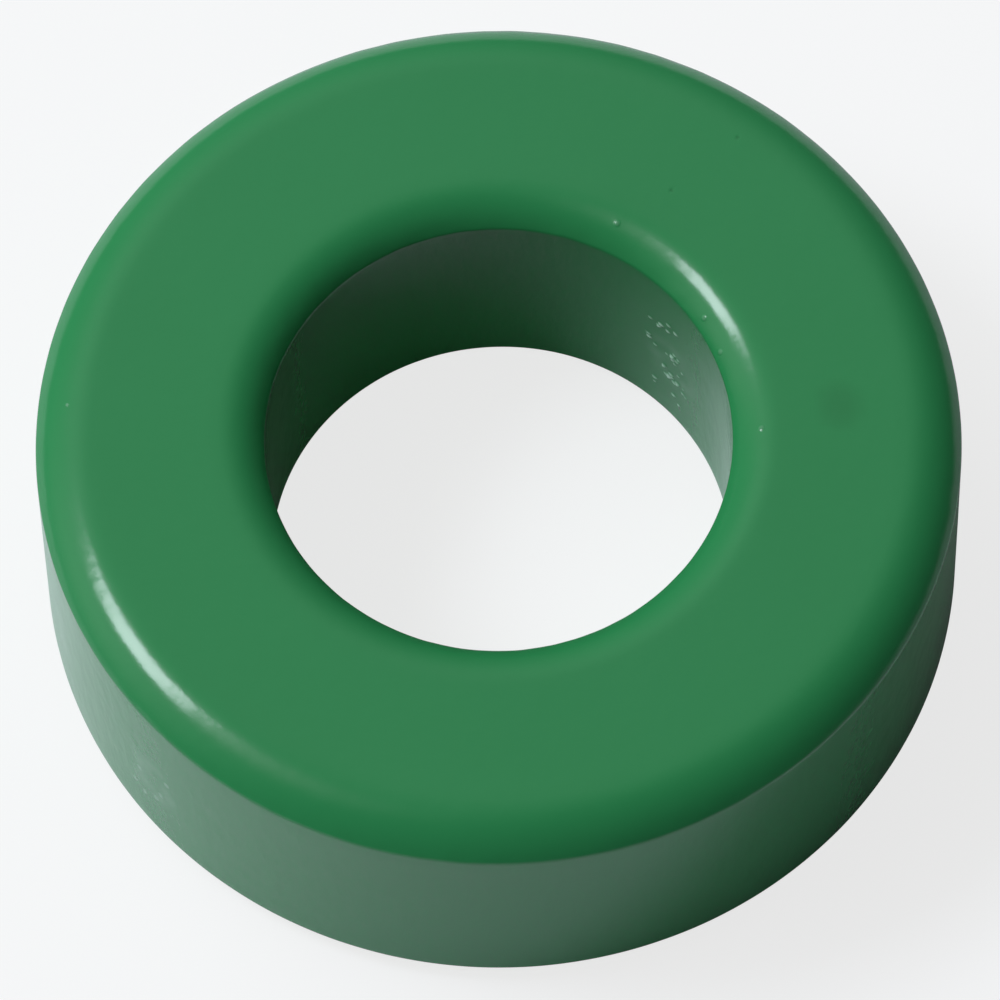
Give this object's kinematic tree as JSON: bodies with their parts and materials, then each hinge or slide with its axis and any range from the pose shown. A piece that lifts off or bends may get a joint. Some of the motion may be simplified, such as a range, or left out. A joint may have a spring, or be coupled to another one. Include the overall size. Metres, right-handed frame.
{
  "type": "cylindrical ferrite core",
  "caption": "Short cylindrical ferrite core: a thick ring with a round bore and softly rounded edges under a glossy green coat, for winding wire on or slipping over a cable.",
  "frame": {"origin": "on the axis of the bore, at the end face that the ring rests on", "axes": "+Z along the bore, from the resting face to the other face. X and Y lie in the resting face and are alike."},
  "size_m": [0.038, 0.038, 0.013],
  "materials": {
    "green_coat": "gloss"
  },
  "bodies": {
    "root": {"ring_core": "green_coat"}
  },
  "joints": []
}
